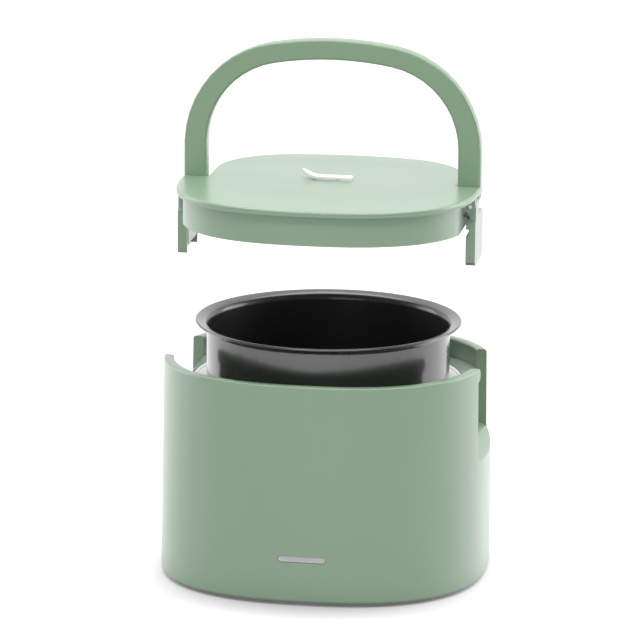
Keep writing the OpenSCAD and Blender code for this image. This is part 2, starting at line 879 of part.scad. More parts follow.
module bowl() {
    flat = bowl_r - bowl_round;
    inner = bowl_round - bowl_wall;
    neck = bowl_h - 5.2;
    color([0.30, 0.30, 0.31])
    translate([0, 0, bowl_z + bowl_lift])
        rotate_extrude($fn = 160)
            polygon(concat(
                [[0, 0], [flat, 0]],
                [for (q = quarter(8)) [flat + bowl_round * sin(q), bowl_round * (1 - cos(q))]],
                [[bowl_r, neck],
                 [bowl_r + 0.5, neck + 1.7],
                 [bowl_r + 1.6, neck + 2.7],
                 [bowl_rim_r - 1, bowl_h - 1.4],
                 [bowl_rim_r - 0.4, bowl_h - 1.4],
                 [bowl_rim_r, bowl_h - 1],
                 [bowl_rim_r, bowl_h - 0.6],
                 [bowl_rim_r - 0.4, bowl_h - 0.1],
                 [bowl_rim_r - 1, bowl_h],
                 [bowl_r + 1.2, neck + 4],
                 [bowl_r - 0.4, neck + 2.6],
                 [bowl_r - bowl_wall, neck + 0.2]],
                [for (i = [8:-1:0]) let (q = 90 * i / 8) [flat + inner * sin(q), bowl_round - inner * cos(q)]],
                [[0, bowl_wall]]));
}

// ---- Lid, drawn in its closed place and lifted by lid_lift ----

panel_z = bowl_rim_z + 2;
panel_t = 2;
recess_z = plate_top - plate_skin;
seal_bead = bowl_rim_r - 5;
lid_post = (seal_bead - 4 - head_r - 3.6) / sqrt(2);
ear_y = neck_w / 2 + fit + 0.1;
neck_y = step_y - ear_t - ear_y;
tuck = 0.7;
shelf_top = plate_top - band_d - 0.6;
liner_flat = latch_in - (liner_h - hinge_drop) * sin(lock_swing) - 0.4;
leg_x = arch_half - band_w / 2;
block_x = leg_in - handle_gap - tuck - liner_wall - fit;
block_in = block_x - 12;
vent_x = 11.5;
vent_y = 10;
hinge_vent_x = vent_x - 8.6;
steam_x = hinge_vent_x - 9;

// Everything of the lid is lifted by this
module lifted() {
    translate([0, 0, lid_lift])
        children();
}

// A point of the handle's inner edge, laid down round the plate, for one stop of the arch
function folded(stop, inset) =
    let (r = stop[2] - band_w - handle_gap - inset)
    [stop[0] + r * sin(stop[3]), handle_y + stop[1] - pivot_z + r * cos(stop[3])];

// The space inside the folded handle, from depth y backwards
function rear_points(inset, y) =
    let (side = leg_in - handle_gap - inset)
    concat([[side, y]], [for (stop = arch_stops()) folded(stop, inset)], [[-side, y]]);

function rear_ring(inset, z) = [for (p = rear_points(inset, 0)) [p[0], p[1], z]];

// Outline of the lid's plate: the plan in front, and behind the legs the space inside the folded handle
function lid_outline(inset) =
    let (b = plate_b - inset,
         y = step_y - inset,
         x = (b + plan_stretch) * pow(1 - pow(y / b, squareness), 1 / squareness),
         start = atan2(y, x),
         steps = 48)
    concat(
        [for (i = [0:steps]) plan_point(b + plan_stretch, b, 180 - start + (180 + 2 * start) * i / steps)],
        rear_points(inset, y));

// An upright prism with the plate's outline
module lid_prism(inset, z0, z1) {
    translate([0, 0, z0])
        linear_extrude(z1 - z0)
            polygon(lid_outline(inset));
}

plate_low = 0.9;
plate_high = 1.4;

// The plate itself, with rounded lower and upper edges
module lid_plate() {
    low = [for (q = quarter(2)) [plate_low * (1 - sin(q)), plate_z + plate_low * (1 - cos(q))]];
    high = [for (q = quarter(3)) [plate_high * (1 - cos(q)), plate_top - plate_high * (1 - sin(q))]];
    edge = concat(low, high);
    intersection() {
        skin([for (e = edge) plan_ring(plate_b - e[0], e[1])]);
        translate([-200, -200, plate_z - 1])
            cube([400, 200 + step_y, plate_t + 2]);
    }
    skin([for (e = edge) rear_ring(e[0], e[1])]);
}

module lid_cover() {
    full_x = liner_flat - liner_wall - 6;
    full_y = neck_y - ear_y - ear_t - 4;
    color(sage)
    lifted()
        difference() {
            union() {
                difference() {
                    lid_plate();
                    intersection() {
                        plan_prism(liner_b - liner_wall, plate_z - 1, recess_z);
                        lid_prism(tuck + liner_wall, plate_z - 1, recess_z);
                    }
                }
                both_sides() {
                    // The plate stays full over the latch's ears
                    translate([full_x, full_y, plate_z])
                        cube([plate_b + plan_stretch - 4 - full_x, step_y - 1.5 - full_y, plate_t - 1]);
                    // Block that carries the handle's pivot pin
                    translate([block_in, handle_y - band_d / 2, pivot_z - pivot_r - 2.4])
                        cube([block_x - block_in, band_d, recess_z - pivot_z + pivot_r + 2.4 + eps]);
                    latch_ears();
                }
                for (x = [-1, 1], y = [-1, 1])
                    translate([x * lid_post, y * lid_post, panel_z + panel_t])
                        cylinder(r = post_r, h = recess_z - panel_z - panel_t + eps, $fn = 32);
            }
            both_sides() {
                // Holes for the latch's pin and the handle's pivot pin
                translate([hinge_x, neck_y + ear_y + ear_t + 1, plate_z - hinge_drop])
                    rotate([90, 0, 0])
                        cylinder(r = pin_r + running, h = 2 * (ear_y + ear_t) + 2, $fn = 32);
                translate([block_in - 1, handle_y, pivot_z])
                    rotate([0, 90, 0])
                        cylinder(r = pivot_r + running, h = leg_in - block_in + 1, $fn = 48);
            }
            for (x = [-1, 1], y = [-1, 1])
                translate([x * lid_post, y * lid_post, panel_z])
                    cylinder(r = screw_r + running, h = 9, $fn = 32);
            // Steam hole and the hole for the flap's anchor
            translate([steam_x, vent_y, plate_z - 1])
                cylinder(r = steam_r, h = 9, $fn = 32);
            translate([vent_x - 3.6, vent_y, plate_z - 1])
                cylinder(r = 1.8 + running, h = 9, $fn = 32);
        }
}

// The two ears that hold the right-hand latch's pin
module latch_ears() {
    for (y = [-1, 1])
        translate([hinge_x, neck_y + y * (ear_y + ear_t / 2) + ear_t / 2, plate_z - hinge_drop])
            rotate([90, 0, 0])
                linear_extrude(ear_t) {
                    circle(r = barrel_r - 0.2, $fn = 48);
                    translate([0.2 - barrel_r, 0])
                        square([2 * barrel_r - 0.4, hinge_drop + eps]);
                }
}

// Outline of the liner at a height, flat beside the latches; grow moves every face outwards
module liner_form(z0, z1, grow) {
    intersection() {
        plan_prism(liner_b + grow, z0, z1);
        translate([-liner_flat - grow, -200, z0 - 1])
            cube([2 * (liner_flat + grow), 400, z1 - z0 + 2]);
    }
}

// The liner's upper part, which leaves a pocket for the handle behind its legs
module liner_upper(z0, z1, grow) {
    intersection() {
        liner_form(z0, z1, grow);
        lid_prism(tuck - grow, z0, z1);
    }
}

module lid_liner() {
    low = plate_z - liner_h;
    color(sage)
    lifted()
        difference() {
            union() {
                difference() {
                    union() {
                        liner_form(low, shelf_top, 0);
                        liner_upper(shelf_top - 1, plate_z, 0);
                    }
                    liner_form(low - 1, panel_z, -liner_wall);
                    liner_form(panel_z + panel_t, shelf_top - liner_wall, -liner_wall);
                    liner_upper(panel_z + panel_t + 1, plate_z + 1, -liner_wall);
                }
                // Tube that leads steam up to the flap
                translate([steam_x, vent_y, panel_z])
                    cylinder(r = steam_r + 1.6, h = recess_z - panel_z - fit, $fn = 32);
            }
            translate([steam_x, vent_y, panel_z - 1])
                cylinder(r = steam_r, h = 30, $fn = 32);
            for (x = [-1, 1], y = [-1, 1])
                translate([x * lid_post, y * lid_post, panel_z - 1])
                    cylinder(r = screw_r + fit, h = 4, $fn = 32);
            // Holes that the pivot pins pass through
            both_sides()
                translate([block_x - 1, handle_y, pivot_z])
                    rotate([0, 90, 0])
                        cylinder(r = pivot_r + fit, h = leg_in - block_x + 1, $fn = 48);
            // Groove that the seal's bead is pushed into
            translate([0, 0, panel_z - eps])
                difference() {
                    cylinder(r = seal_bead + 1 + running, h = 1, $fn = 96);
                    translate([0, 0, -1])
                        cylinder(r = seal_bead - 1 - running, h = 3, $fn = 96);
                }
        }
}

module lid_seal() {
    low = bowl_rim_z + seat;
    color([0.90, 0.90, 0.88])
    lifted()
        rotate_extrude($fn = 128)
            polygon([[seal_bead - 1, panel_z + 0.9], [seal_bead - 1, panel_z], [seal_bead - 4, panel_z],
                     [seal_bead - 4, panel_z - 1], [seal_bead + 1.4, panel_z - 1],
                     [bowl_rim_r - 1.6, low], [bowl_rim_r - 0.6, low],
                     [bowl_rim_r - 0.9, low + 0.7], [seal_bead + 3, panel_z],
                     [seal_bead + 1, panel_z], [seal_bead + 1, panel_z + 0.9]]);
}

module lid_screws() {
    color(steel)
    lifted()
        for (x = [-1, 1], y = [-1, 1])
            translate([x * lid_post, y * lid_post, panel_z])
                screw(8);
}

// ---- Handle ----

crown_z = plate_top + handle_h + band_slim;
shoulder_x = arch_half - shoulder_r;
// The large radius that the crown starts from, so that it runs on from the shoulders without a kink
crown_dip = 2.2;
arch_z = crown_z - crown_dip - shoulder_r;
crown_r = (shoulder_x * shoulder_x + (crown_z - arch_z) * (crown_z - arch_z) - shoulder_r * shoulder_r)
          / (2 * (crown_z - arch_z - shoulder_r));
join_angle = atan2(shoulder_x, crown_r - (crown_z - arch_z));

// Each stop is [centre x, centre z, outer radius, angle from the upright], from the right foot to the left
function arch_stops() = concat(
    [for (i = [0:10]) [shoulder_x, arch_z, shoulder_r, 90 - (90 - join_angle) * i / 10]],
    [for (i = [1:9]) [0, crown_z - crown_r, crown_r, join_angle - 2 * join_angle * i / 10]],
    [for (i = [0:10]) [-shoulder_x, arch_z, shoulder_r, -join_angle - (90 - join_angle) * i / 10]]);

// Points round the band's section: [distance in from the outer edge, distance from its middle plane]
function band_section() =
    let (w = band_w / 2 - band_round, d = band_d / 2 - band_round)
    [for (corner = [[1, 1, 0], [-1, 1, 90], [-1, -1, 180], [1, -1, 270]], i = [0:3])
        let (q = corner[2] + 30 * i)
        [band_w / 2 - corner[0] * w - band_round * cos(q), corner[1] * d + band_round * sin(q)]];

// The section stood at one stop of the arch, narrowed from outside towards the crown
function arch_ring(stop) =
    let (slim = band_slim * cos(stop[3]))
    [for (s = band_section()) let (r = stop[2] - slim - s[0] * (band_w - slim) / band_w)
        [stop[0] + r * sin(stop[3]), handle_y + s[1], stop[1] + r * cos(stop[3])]];

// The section of a leg at height z
function leg_ring(side, z) = arch_ring([side * shoulder_x, z, shoulder_r, side * 90]);

// The section drawn in towards a leg's rounded lower end, at turn q round the pivot
function leg_end(side, q) =
    [for (p = leg_ring(side, 0))
        [side * leg_x + (p[0] - side * leg_x) * (1 - 2 * band_round * (1 - cos(q)) / band_w),
         handle_y + (p[1] - handle_y) * cos(q),
         pivot_z - band_d / 2 * sin(q)]];

pin_depth = 9;

module handle() {
    color(sage * 0.92)
    lifted()
        difference() {
            skin(concat([for (q = [75:-25:25]) leg_end(1, q)], [leg_ring(1, pivot_z)],
                        [for (stop = arch_stops()) arch_ring(stop)],
                        [leg_ring(-1, pivot_z)], [for (q = [25:25:75]) leg_end(-1, q)]));
            // Holes for the pivot pins
            both_sides()
                translate([leg_in - 1, handle_y, pivot_z])
                    rotate([0, 90, 0])
                        cylinder(r = pivot_r + running, h = pin_depth + 1.2, $fn = 48);
        }
}

// The two pins that the handle turns on, pushed in from inside the lid
module handle_pins() {
    color(steel)
    lifted()
        both_sides()
            translate([block_in, handle_y, pivot_z])
                rotate([0, 90, 0])
                    cylinder(r = pivot_r, h = leg_in + pin_depth - block_in, $fn = 48);
}

// ---- Vent flap ----

// Plan of the whole strip, wider at the anchor and round at both ends
module vent_plan() {
    left = vent_x - vent_len;
    polygon(concat(
        [for (q = [-90:15:90]) [vent_x - vent_w / 4 + vent_w / 4 * cos(q), vent_w / 2 * sin(q)]],
        [for (q = [90:15:270]) [left + vent_w / 3 + vent_w / 3 * cos(q), (vent_w / 2 - 0.9) * sin(q)]]));
}

// Side view of the flap, curling up towards its tip
module vent_side() {
    left = vent_x - vent_len;
    bend = 11;
    gap = 0.1;
    polygon(concat(
        [for (i = [8:-1:0]) [left + bend * (i / 8), gap + vent_curl * pow(1 - i / 8, 2)]],
        [for (i = [0:8]) let (t = i / 8)
            [left + bend * t, gap + vent_t * (0.72 + 0.28 * t) + vent_curl * pow(1 - t, 2)]],
        [[hinge_vent_x, gap + vent_t], [hinge_vent_x, gap]]));
}

module vent_anchor() {
    color([0.95, 0.95, 0.94])
    lifted()
        translate([0, vent_y, plate_top]) {
            intersection() {
                linear_extrude(vent_t)
                    vent_plan();
                difference() {
                    translate([hinge_vent_x, -20, -1])
                        cube([30, 40, 10]);
                    translate([hinge_vent_x, 20, vent_t / 2])
                        rotate([90, 0, 0])
                            cylinder(r = vent_t / 2 + fit, h = 40, $fn = 32);
                }
            }
            translate([vent_x - 3.6, 0, -plate_skin - 0.4])
                cylinder(r = 1.8, h = plate_skin + 0.5, $fn = 32);
            translate([vent_x - 3.6, 0, -plate_skin - 1.4])
                cylinder(r1 = 1.6, r2 = 2.6, h = 1.3, $fn = 32);
        }
}

module vent_flap() {
    color([0.95, 0.95, 0.94])
    lifted()
        translate([0, vent_y, plate_top]) {
            intersection() {
                linear_extrude(20)
                    vent_plan();
                translate([0, 20, 0])
                    rotate([90, 0, 0])
                        linear_extrude(40) {
                            vent_side();
                            translate([hinge_vent_x, vent_t / 2 + 0.1])
                                circle(r = vent_t / 2 - 0.05, $fn = 32);
                        }
            }
            translate([steam_x, 0, -1.3])
                cylinder(r1 = steam_r - 1, r2 = steam_r - 0.5, h = 1.6, $fn = 32);
        }
}

// ---- Latches ----

// Front view of a latch's body: a rectangle hanging from y = 0, with its own rounding below and above
module latch_front(w, h, low, high) {
    translate([-w / 2 + low, -h])
        square([w - 2 * low, low + eps]);
    translate([-w / 2, -h + low])
        square([w, h - low - high]);
    translate([-w / 2 + high, -high - eps])
        square([w - 2 * high, high + eps]);
    for (x = [-1, 1]) {
        translate([x * (w / 2 - low), -h + low])
            circle(r = low, $fn = 32);
        translate([x * (w / 2 - high), -high])
            circle(r = high, $fn = 32);
    }
}

// Extrudes a front view outwards along X, from x0 to x1
module slab(x0, x1) {
    translate([x0, side_y, 0])
        rotate([90, 0, 90])
            linear_extrude(x1 - x0)
                children();
}

module latch() {
    top = plate_z - latch_top;
    hook_top = deck_z - deck_t - 0.4;
    hook_low = top - latch_h + 5;
    relief = (plate_z - hinge_drop - hook_top) * sin(lock_swing) + 0.2;
    color(sage)
    lifted()
        difference() {
            union() {
                difference() {
                    translate([0, 0, top])
                        slab(latch_in, latch_x)
                            latch_front(latch_w, latch_h, 3, 5);
                    // Hollow inside, open towards the bottom
                    translate([0, 0, top - latch_skin])
                        slab(latch_in - 1, latch_x - latch_skin)
                            latch_front(latch_w - 2 * latch_skin, latch_h + 5, 1, 3.4);
                }
                // Hook that swings in under the deck's edge
                translate([latch_in, side_y - latch_w / 2 + latch_skin + 2.5, hook_low])
                    cube([latch_t - latch_skin + eps, latch_w - 2 * latch_skin - 5, hook_top - hook_low]);
                // Neck and barrel
                translate([0, neck_y + neck_w / 2, plate_z - hinge_drop])
                    rotate([90, 0, 0])
                        linear_extrude(neck_w) {
                            translate([hinge_x, 0])
                                circle(r = barrel_r, $fn = 48);
                            translate([hinge_x - 0.6, -(latch_top - hinge_drop) - latch_skin])
                                square([barrel_r + 0.6, latch_top - hinge_drop + latch_skin]);
                        }
            }
            translate([hinge_x, neck_y + neck_w, plate_z - hinge_drop])
                rotate([90, 0, 0])
                    cylinder(r = pin_r + running, h = 2 * neck_w, $fn = 32);
            // Room for the deck's edge above the hook
            translate([latch_in - 1, side_y - latch_w / 2 - 1, hook_top])
                cube([relief + 1, latch_w + 2, deck_z + 0.6 - hook_top]);
        }
}

module latch_left() {
    mirror([1, 0, 0]) latch();
}

module latch_right() {
    latch();
}

module latch_pin() {
    color(steel)
    lifted()
        translate([hinge_x, neck_y + ear_y + ear_t - 0.2, plate_z - hinge_drop])
            rotate([90, 0, 0])
                cylinder(r = pin_r, h = 2 * (ear_y + ear_t) - 0.4, $fn = 32);
}

module latch_pin_left() {
    mirror([1, 0, 0]) latch_pin();
}

module latch_pin_right() {
    latch_pin();
}

housing();
deck();
heating_well();
well_seal();
heater_plate();
heating_tube();
thermostat();
thermostat_clip();
thermal_fuse();
fuse_clip();
bridge();
heater_nuts();
inner_screws();
bottom_cover();
rubber_feet();
cover_screws();
mains_inlet();
inlet_pins();
lamp_lens();
lamp_board();
lamp_leds();
wiring();
bowl();
lid_cover();
lid_liner();
lid_seal();
lid_screws();
handle();
handle_pins();
vent_anchor();
vent_flap();
latch_left();
latch_right();
latch_pin_left();
latch_pin_right();
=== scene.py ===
import json
import math

import bpy
from mathutils import Matrix, Vector


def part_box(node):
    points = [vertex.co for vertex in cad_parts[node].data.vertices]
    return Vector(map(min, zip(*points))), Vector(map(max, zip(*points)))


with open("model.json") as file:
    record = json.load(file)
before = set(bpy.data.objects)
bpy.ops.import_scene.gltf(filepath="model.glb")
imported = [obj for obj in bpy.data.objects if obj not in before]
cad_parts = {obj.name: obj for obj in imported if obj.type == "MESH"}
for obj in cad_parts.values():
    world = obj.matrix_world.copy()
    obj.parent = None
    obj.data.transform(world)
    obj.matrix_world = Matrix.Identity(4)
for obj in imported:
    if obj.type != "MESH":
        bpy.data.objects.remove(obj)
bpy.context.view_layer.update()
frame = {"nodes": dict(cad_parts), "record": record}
nodes = frame["nodes"]


# ---- Node building blocks ----


class Nodes:
    """A node tree of any kind, with short ways to add to it."""

    def __init__(self, tree):
        self.tree = tree

    def node(self, kind, **values):
        made = self.tree.nodes.new(kind)
        for key, value in values.items():
            setattr(made, key, value)
        return made

    def give(self, socket, value):
        """Sets a plain number on a socket, or links another node's output to it."""
        if isinstance(value, (int, float)):
            socket.default_value = value
        else:
            self.tree.links.new(value, socket)

    def math(self, operation, *values):
        made = self.node("ShaderNodeMath", operation=operation)
        for socket, value in zip(made.inputs, values):
            self.give(socket, value)
        return made.outputs[0]

    def remap(self, value, span, low, high, curve="LINEAR"):
        """Maps the two ends of span to low and high, and holds them beyond."""
        made = self.node("ShaderNodeMapRange", interpolation_type=curve)
        self.give(made.inputs["Value"], value)
        made.inputs["From Min"].default_value, made.inputs["From Max"].default_value = span
        made.inputs["To Min"].default_value = low
        made.inputs["To Max"].default_value = high
        return made.outputs["Result"]

    def seen_by_mirrors(self, path):
        """1 for rays that come from a mirroring or clear surface."""
        return self.math("MAXIMUM", path["Is Glossy Ray"], path["Is Transmission Ray"])


def tinted(colour, k):
    return tuple(min(1.0, c * k) for c in colour)


class Shader(Nodes):
    """A material with a Principled surface. Lengths are in metres."""

    NOISE_SPAN = (0.3, 0.7)  # where the values of noise mostly lie

    def __init__(self, name):
        self.mat = bpy.data.materials.new(name)
        self.mat.use_nodes = True
        super().__init__(self.mat.node_tree)
        self.bsdf = self.tree.nodes["Principled BSDF"]
        coords = self.node("ShaderNodeTexCoord")
        self.place, self.facing = coords.outputs["Object"], coords.outputs["Normal"]

    def set(self, **values):
        for key, value in values.items():
            self.bsdf.inputs[key.replace("_", " ")].default_value = value

    def xyz(self):
        split = self.node("ShaderNodeSeparateXYZ")
        self.give(split.inputs[0], self.place)
        return split.outputs

    def rings(self):
        """The distance from the Z axis, and a place that is the same all round that axis."""
        x, y, z = self.xyz()
        squares = self.math("ADD", self.math("MULTIPLY", x, x), self.math("MULTIPLY", y, y))
        radius = self.math("SQRT", squares)
        around = self.node("ShaderNodeCombineXYZ")
        self.give(around.inputs[0], radius)
        self.give(around.inputs[1], z)
        return radius, around.outputs[0]

    def noise(self, place, scale, detail, rough=0.55):
        made = self.node("ShaderNodeTexNoise")
        self.give(made.inputs["Vector"], place)
        made.inputs["Scale"].default_value = scale
        made.inputs["Detail"].default_value = detail
        made.inputs["Roughness"].default_value = rough
        return made.outputs["Fac"]

    def spread(self, noise, low, high):
        return self.remap(noise, self.NOISE_SPAN, low, high)

    def near(self, noise, value, reach):
        """Wanders round a value, up to reach on either side."""
        return self.spread(noise, value - reach, value + reach)

    def two(self, factor, a, b):
        """A colour between a and b."""
        made = self.node("ShaderNodeMix", data_type="RGBA")
        self.give(made.inputs["Factor"], factor)
        for socket, colour in ((made.inputs[6], a), (made.inputs[7], b)):
            if isinstance(colour, tuple):
                socket.default_value = (*colour, 1.0)
            else:
                self.give(socket, colour)
        return made.outputs[2]

    def mottled(self, noise, colour, dark, pale):
        """Wanders between two tints of a colour."""
        return self.two(self.spread(noise, 0.0, 1.0), tinted(colour, dark), tinted(colour, pale))

    def bump(self, height, strength, distance, under=None):
        made = self.node("ShaderNodeBump")
        made.inputs["Strength"].default_value = strength
        made.inputs["Distance"].default_value = distance
        self.give(made.inputs["Height"], height)
        if under is not None:
            self.give(made.inputs["Normal"], under)
        return made.outputs["Normal"]

    def finish(self, colour, rough, normal, metal=None):
        self.give(self.bsdf.inputs["Base Color"], colour)
        self.give(self.bsdf.inputs["Roughness"], rough)
        self.give(self.bsdf.inputs["Normal"], normal)
        if metal is not None:
            self.give(self.bsdf.inputs["Metallic"], metal)
        return self.mat


# ---- Materials ----


def moulded(name, colour, rough, grain=0.10, vary=0.02, coat=0.0):
    """Moulded plastic: a fine even grain, faint clouding of colour and gloss."""
    grain_scale = 2600.0
    s = Shader(name)
    cloud = s.noise(s.place, scale=9.0, detail=2.0)
    smear = s.noise(s.place, scale=42.0, detail=3.0)
    fine = s.noise(s.place, scale=grain_scale, detail=2.0, rough=0.6)
    skin = s.noise(s.place, scale=grain_scale * 0.12, detail=3.0)
    waves = s.bump(skin, strength=grain * 0.35, distance=0.00012)
    s.set(Specular_IOR_Level=0.5, Coat_Weight=coat, Coat_Roughness=0.30)
    return s.finish(
        s.mottled(cloud, colour, dark=1 - vary, pale=1 + vary),
        s.near(smear, rough, reach=0.03),
        s.bump(fine, strength=grain, distance=0.00005, under=waves),
    )


def turned(name, colour, rough, lip):
    """Spun metal: fine rings round Z; beyond the radius lip, a black line of painted shade."""
    ring_scale = 2400.0
    s = Shader(name)
    radius, around = s.rings()
    fine = s.noise(around, scale=ring_scale, detail=2.0)
    wide = s.noise(around, scale=ring_scale * 0.12, detail=2.0)
    patch = s.noise(s.place, scale=30.0, detail=3.0)
    bare = s.mottled(wide, colour, dark=0.95, pale=1.05)
    # Beyond lip: black, rough, not metal, a painted shade line along the ring's outer edge
    beyond = s.math("GREATER_THAN", radius, lip)
    return s.finish(
        s.two(beyond, bare, PAINTED_SHADE_BLACK),
        s.math("MAXIMUM", s.near(patch, rough, reach=0.04), s.math("MULTIPLY", beyond, 0.6)),
        s.bump(fine, strength=0.12, distance=0.00003),
        s.math("SUBTRACT", 1.0, beyond),
    )


def drawn(name, colour, rough, axis=2):
    """Pressed or drawn steel: faint streaks along one axis and a little tarnish."""
    s = Shader(name)
    squeeze = s.node("ShaderNodeMapping")
    s.give(squeeze.inputs["Vector"], s.place)
    squeeze.inputs["Scale"].default_value = [0.06 if i == axis else 1.0 for i in range(3)]
    streak = s.noise(squeeze.outputs[0], scale=1500.0, detail=3.0)
    tarnish = s.noise(s.place, scale=160.0, detail=4.0)
    s.set(Metallic=1.0)
    return s.finish(
        s.mottled(tarnish, colour, dark=0.85, pale=1.06),
        s.near(streak, rough, reach=0.07),
        s.bump(streak, strength=0.12, distance=0.00004),
    )


def cast(name, colour, rough):
    """Sand-grained cast metal."""
    s = Shader(name)
    grit = s.noise(s.place, scale=900.0, detail=5.0, rough=0.7)
    patch = s.noise(s.place, scale=55.0, detail=4.0)
    s.set(Metallic=0.9)
    return s.finish(
        s.mottled(patch, colour, dark=0.86, pale=1.1),
        s.near(patch, rough, reach=0.06),
        s.bump(grit, strength=0.5, distance=0.00015),
    )


def soft_rubber(name, colour, rough, glow=0.0):
    """Rubber or silicone with a dull bloom; glow is how much light it lets in."""
    s = Shader(name)
    bloom = s.noise(s.place, scale=120.0, detail=4.0)
    skin = s.noise(s.place, scale=1800.0, detail=2.0)
    s.set(Subsurface_Weight=glow, Subsurface_Scale=0.004)
    return s.finish(
        s.mottled(bloom, colour, dark=0.94, pale=1.05),
        s.near(bloom, rough, reach=0.05),
        s.bump(skin, strength=0.12, distance=0.00006),
    )


def coated_bowl(name, outside, inside):
    """Dark anodised sheet: satin and faintly ringed outside, a dull coating inside."""
    lo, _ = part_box("bowl")
    s = Shader(name)
    _, around = s.rings()
    fine = s.noise(around, scale=1900.0, detail=2.0)
    wide = s.noise(around, scale=240.0, detail=2.0)
    patch = s.noise(s.place, scale=40.0, detail=3.0)
    grit = s.noise(s.place, scale=1500.0, detail=4.0, rough=0.7)
    # Inside is where the surface faces a point a little above the bowl's floor
    middle = s.node("ShaderNodeVectorMath", operation="SUBTRACT")
    middle.inputs[0].default_value = (0.0, 0.0, lo.z + 0.020)
    s.give(middle.inputs[1], s.place)
    facing = s.node("ShaderNodeVectorMath", operation="DOT_PRODUCT")
    s.give(facing.inputs[0], middle.outputs[0])
    s.give(facing.inputs[1], s.facing)
    within = s.math("GREATER_THAN", facing.outputs["Value"], 0.0)
    outer = s.mottled(wide, outside, dark=0.94, pale=1.06)
    inner = s.mottled(grit, inside, dark=0.7, pale=1.5)
    s.set(Coat_Weight=0.8, Coat_Roughness=0.10)
    return s.finish(
        s.two(within, outer, inner),
        s.math("ADD", s.spread(patch, 0.24, 0.30), s.math("MULTIPLY", within, 0.16)),
        s.bump(fine, strength=0.10, distance=0.00003),
        s.math("MULTIPLY", s.math("SUBTRACT", 1.0, within), 0.80),
    )


def wire_sleeves(name, red, black):
    """Wire covers: the lamp's leads are black, the rest red."""
    s = Shader(name)
    x, y, z = s.xyz()
    # The lamp's leads are those in front, and those low down along the sides
    low = s.math("LESS_THAN", z, 0.0106)
    aside = s.math("GREATER_THAN", s.math("ABSOLUTE", x), 0.041)
    front = s.math("LESS_THAN", y, -0.045)
    dark = s.math("MAXIMUM", s.math("MULTIPLY", low, aside), front)
    mottle = s.noise(s.place, scale=300.0, detail=3.0)
    skin = s.noise(s.place, scale=1600.0, detail=2.0)
    return s.finish(
        s.two(dark, red, black),
        s.spread(mottle, 0.42, 0.55),
        s.bump(skin, strength=0.15, distance=0.00008),
    )


SAGE = (0.252, 0.380, 0.254)
HANDLE_SAGE = (0.208, 0.340, 0.203)
# The second colour is painted shade, for the dark line along the well ring's outer edge
WELL_SILVER, PAINTED_SHADE_BLACK = (0.82, 0.82, 0.82), (0.02, 0.02, 0.02)
BOWL_OUTSIDE, BOWL_INSIDE = (0.100, 0.102, 0.100), (0.012, 0.012, 0.013)
SLEEVE_RED, SLEEVE_BLACK = (0.32, 0.016, 0.012), (0.012, 0.012, 0.012)
# Painted shade: a black line that starts this far inside the edge of the well's ring
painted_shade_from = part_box("heating_well")[1].x - 0.0008

LOOKS = {
    "sage": moulded("sage", SAGE, 0.38, coat=1.0),
    "handle_sage": moulded("handle_sage", HANDLE_SAGE, 0.38, coat=1.0),
    "cover_sage": moulded("cover_sage", tinted(SAGE, 0.95), 0.55, grain=0.22),
    "well_metal": turned("well_metal", WELL_SILVER, 0.26, painted_shade_from),
    "bowl_metal": coated_bowl("bowl_metal", BOWL_OUTSIDE, BOWL_INSIDE),
    "black_rubber": soft_rubber("black_rubber", (0.014, 0.014, 0.014), 0.68),
    "white_silicone": soft_rubber("white_silicone", (0.86, 0.86, 0.84), 0.42, glow=0.25),
    "cast_heater": cast("cast_heater", (0.50, 0.50, 0.50), 0.45),
    "tube_steel": drawn("tube_steel", (0.22, 0.21, 0.20), 0.42),
    "bright_steel": drawn("bright_steel", (0.60, 0.60, 0.60), 0.28),
    "pin_metal": drawn("pin_metal", (0.72, 0.71, 0.68), 0.16, axis=1),
    "ceramic": moulded("ceramic", (0.70, 0.65, 0.55), 0.22, grain=0.06, vary=0.05, coat=0.4),
    "black_plastic": moulded("black_plastic", (0.018, 0.018, 0.019), 0.45, grain=0.3),
    "lens": moulded("lens", (0.56, 0.57, 0.61), 0.18, grain=0.03, coat=0.6),
    "board_green": moulded("board_green", (0.03, 0.16, 0.06), 0.3, grain=0.3, vary=0.12, coat=0.3),
    "led": moulded("led", (0.80, 0.76, 0.58), 0.2, grain=0.05, coat=0.5),
    "wire_cover": wire_sleeves("wire_cover", SLEEVE_RED, SLEEVE_BLACK),
}


# ---- Edges: neighbouring facets of one curve shade as one ----

FINE_ANGLE, WIDE_ANGLE = 40, 50
# Round the scoops, below this height, the housing has edges that stay sharp
SCOOP_TOP, SCOOP_ANGLE = 0.1, 34.5


def shade_group(name, degrees, below=None):
    """Smooth up to an angle; below is a height and the smaller angle that holds under it."""
    group = bpy.data.node_groups.new(name, "GeometryNodeTree")
    for in_out in ("INPUT", "OUTPUT"):
        group.interface.new_socket("Geometry", in_out=in_out, socket_type="NodeSocketGeometry")
    g = Nodes(group)
    start = g.node("NodeGroupInput")
    end = g.node("NodeGroupOutput")
    angle = g.node("GeometryNodeInputMeshEdgeAngle")
    limit = g.node("FunctionNodeCompare", data_type="FLOAT", operation="LESS_EQUAL")
    limit.inputs["B"].default_value = math.radians(degrees)
    if below is not None:
        height, lesser = below
        parts = g.node("ShaderNodeSeparateXYZ")
        g.give(parts.inputs[0], g.node("GeometryNodeInputPosition").outputs[0])
        over = g.math("GREATER_THAN", parts.outputs["Z"], height)
        more = math.radians(degrees - lesser)
        g.give(limit.inputs["B"], g.math("MULTIPLY_ADD", over, more, math.radians(lesser)))
    faces = g.node("GeometryNodeSetShadeSmooth", domain="FACE")
    edges = g.node("GeometryNodeSetShadeSmooth", domain="EDGE")
    g.give(faces.inputs["Geometry"], start.outputs[0])
    g.give(edges.inputs["Geometry"], faces.outputs[0])
    g.give(limit.inputs["A"], angle.outputs["Unsigned Angle"])
    g.give(edges.inputs["Shade Smooth"], limit.outputs["Result"])
    g.give(end.inputs[0], edges.outputs[0])
    return group


